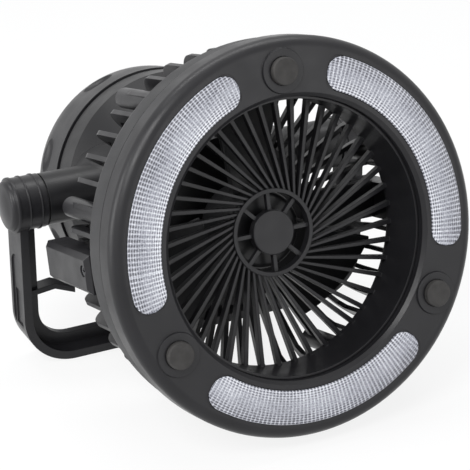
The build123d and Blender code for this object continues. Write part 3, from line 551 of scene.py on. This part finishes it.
def lens_band(name, start):
    middle = (LENS_INNER + LENS_OUTER) / 2
    bars = round(LENS_SWEEP * BARS_PER_RADIAN)
    half_bars = [index / (2 * bars) for index in range(2 * bars + 1)]
    fine = [index * FINE_STEP for index in range(1, FINE_COUNT)]
    shares = sorted({*half_bars, *fine, *(1 - share for share in fine)})
    row_count = 2 * round((LENS_OUTER - LENS_INNER) * ROWS_PER_METRE)
    rows = []
    for share in shares:
        angle = start + LENS_SWEEP * share
        along = middle * LENS_SWEEP * min(share, 1 - share)
        inset = corner_inset(along, LENS_CORNER) + LENS_GAP
        inner, outer = LENS_INNER + inset, LENS_OUTER - inset
        row = [ring_point(inner, angle, FACE - LENS_FOOT)]
        for index in range(row_count + 1):
            radius = inner + (outer - inner) * index / row_count
            crown = 1 - abs(2 * index / row_count - 1) ** 3
            end_fade = min(along / LENS_CORNER, 1.0) ** 0.5
            height = LENS_EDGE + LENS_CROWN * crown * end_fade
            if 0 < index < row_count:
                height += PRISM_RISE * triangle(angle * BARS_PER_RADIAN) * (index % 2)
            row.append(ring_point(radius, angle, FACE + height))
        row.append(ring_point(outer, angle, FACE - LENS_FOOT))
        rows.append(row)
    mesh = grid_mesh(f"{name}_prisms", rows, sharp=LENS_SHARP)
    finish_piece(f"{name}_prisms", mesh, "head", "clear_lens", (name,))


def corner_plate(name, start, direction, edge, inwards):
    """Fills one corner of a window between its own rounding and the lens's wider one."""
    middle = (LENS_INNER + LENS_OUTER) / 2
    rows = []
    for step in range(PLATE_STEPS + 1):
        along = PLATE_REACH * LENS_CORNER * step / PLATE_STEPS
        angle = start + direction * along / middle
        wall = edge + inwards * (corner_inset(along, WINDOW_CORNER) - PLATE_OVERLAP)
        rim = edge + inwards * corner_inset(along, LENS_CORNER)
        top, bottom = FACE - PLATE_SINK, FACE - PLATE
        outline = ((wall, top), (rim, top), (rim, bottom), (wall, bottom))
        rows.append([ring_point(radius, angle, forwards) for radius, forwards in outline])
    finish_piece(name, grid_mesh(name, rows), "head", "charcoal_plastic")


for lens_name, start in LENS_STARTS.items():
    lens_band(f"lens_{lens_name}", start)
    for end, (place, direction) in enumerate(((start, 1), (start + LENS_SWEEP, -1))):
        corner_plate(f"window_corner_{lens_name}_{end}_inner", place, direction, LENS_INNER, 1)
        corner_plate(f"window_corner_{lens_name}_{end}_outer", place, direction, LENS_OUTER, -1)

# Bezel: rounded edges, and a parting groove round the ring.
MOULDING_EDGE = 0.0004
GROOVE_DEPTH = 0.0017
GROOVE_HALF_WIDTH = 0.0006
RING_RADIUS = 0.105
PARTING = -0.0105                   # the groove's place behind the ring's widest circle
GROOVE_FLOOR, GROOVE_TOP = RING_RADIUS - GROOVE_DEPTH, RING_RADIUS + GROOVE_DEPTH
GROOVE_BACK, GROOVE_FRONT = PARTING - GROOVE_HALF_WIDTH, PARTING + GROOVE_HALF_WIDTH
section = (
    (GROOVE_FLOOR, GROOVE_BACK),
    (GROOVE_TOP, GROOVE_BACK),
    (GROOVE_TOP, GROOVE_FRONT),
    (GROOVE_FLOOR, GROOVE_FRONT),
    (GROOVE_FLOOR, GROOVE_BACK),
)
groove = lathe("groove", HEAD_ORIGIN, FORWARD, section, 180)
softened("front_bezel", MOULDING_EDGE, "head", "charcoal_plastic", (groove,))

# Guard: rounded edges.  The solid's lowest ribs reach 4.86 mm below the ground, which is a fault of the
# solid that this mesh doesn't show: it is cut off just above the ground.
GROUND_GAP = 0.0003
SOIL = 0.1                          # thickness of the block that cuts
under = block(Vector((0.0, 0.0, GROUND_GAP - SOIL / 2)), WORLD_AXES, (1.0, 1.0, SOIL))
softened("rear_guard", MOULDING_EDGE, "head", "charcoal_plastic", (under,))

# ---------------------------------------------------------------- floor and world
FLOOR_VEIL = 0.85                   # how much of the floor's look is plain white; the rest shows the shadow

bpy.ops.mesh.primitive_plane_add(size=6.0, location=(0.0, 0.0, 0.0))
floor = bpy.context.object
floor.name = "floor"


def bright_where_seen(tree, dim, bright):
    """Mixes two shaders by whether the ray comes from the camera, a mirror or glass."""
    rays = tree.nodes.new("ShaderNodeLightPath")
    seen = None
    for ray in ("Is Camera Ray", "Is Glossy Ray", "Is Transmission Ray"):
        if seen is None:
            seen = rays.outputs[ray]
            continue
        add = tree.nodes.new("ShaderNodeMath")
        add.operation = "MAXIMUM"
        tree.links.new(seen, add.inputs[0])
        tree.links.new(rays.outputs[ray], add.inputs[1])
        seen = add.outputs[0]
    mix = tree.nodes.new("ShaderNodeMixShader")
    tree.links.new(seen, mix.inputs[0])
    tree.links.new(dim, mix.inputs[1])
    tree.links.new(bright, mix.inputs[2])
    return mix.outputs[0]


ground = bpy.data.materials.new("floor_white")
ground.use_nodes = True
tree = ground.node_tree
paint = tree.nodes["Principled BSDF"]
paint.inputs["Base Color"].default_value = (0.9, 0.9, 0.9, 1.0)
paint.inputs["Roughness"].default_value = 0.9
paint.inputs["Specular IOR Level"].default_value = 0.1
glow = tree.nodes.new("ShaderNodeEmission")
veil = tree.nodes.new("ShaderNodeMixShader")
veil.inputs[0].default_value = FLOOR_VEIL
tree.links.new(paint.outputs[0], veil.inputs[1])
tree.links.new(glow.outputs[0], veil.inputs[2])
shown = bright_where_seen(tree, paint.outputs[0], veil.outputs[0])
tree.links.new(shown, tree.nodes["Material Output"].inputs["Surface"])
floor.data.materials.append(ground)

world = bpy.data.worlds.new("studio")
bpy.context.scene.world = world
world.use_nodes = True
tree = world.node_tree
soft = tree.nodes["Background"]
soft.inputs["Color"].default_value = (0.95, 0.97, 1.0, 1.0)
soft.inputs["Strength"].default_value = 0.5
white = tree.nodes.new("ShaderNodeBackground")
white.inputs["Color"].default_value = (1.0, 1.0, 1.0, 1.0)
white.inputs["Strength"].default_value = 1.0
shown = bright_where_seen(tree, soft.outputs[0], white.outputs[0])
tree.links.new(shown, tree.nodes["World Output"].inputs["Surface"])


# ---------------------------------------------------------------- light
def softbox(name, place, target, width, height, power):
    """Rectangular lamp that faces a point."""
    light = bpy.data.lights.new(name, "AREA")
    light.shape = "RECTANGLE"
    light.size = width
    light.size_y = height
    light.energy = power
    lamp = bpy.data.objects.new(name, light)
    lamp.location = place
    lamp.rotation_euler = (Vector(target) - Vector(place)).to_track_quat("-Z", "Y").to_euler()
    bpy.context.collection.objects.link(lamp)


middle = (0.0, -0.07, 0.1)
softbox("key", (-0.75, -0.55, 1.0), middle, 0.5, 0.5, 9.0)
softbox("top_strip", (0.1, 0.25, 1.15), middle, 1.2, 0.25, 7.0)
softbox("front_fill", (0.6, -1.4, 0.5), middle, 0.6, 0.9, 3.0)
softbox("left_strip", (-1.25, 0.15, 0.4), middle, 0.4, 0.9, 8.0)

# ---------------------------------------------------------------- camera
SENSOR_WIDTH = 36.0
FOCAL_LENGTH = 137.87               # millimetres, fitted to the photograph's ellipses
DISTANCE = 0.930
SHIFT_LEFT, SHIFT_UP = 0.03152, 0.00196
back = Vector((-0.4115, -0.8075, 0.4226))
right = Vector((0.8910, -0.4540, 0.0))
up = Vector((0.1919, 0.3766, 0.9063))
lens = bpy.data.cameras.new("camera")
lens.sensor_width = SENSOR_WIDTH
lens.lens = FOCAL_LENGTH
lens.clip_start = 0.01
camera = bpy.data.objects.new("camera", lens)
turn = Matrix((right, up, back)).transposed().to_4x4()
turn.translation = HEAD_ORIGIN + back * DISTANCE - right * SHIFT_LEFT + up * SHIFT_UP
camera.matrix_world = turn
bpy.context.collection.objects.link(camera)
bpy.context.scene.camera = camera
bpy.context.scene.view_settings.view_transform = "Standard"
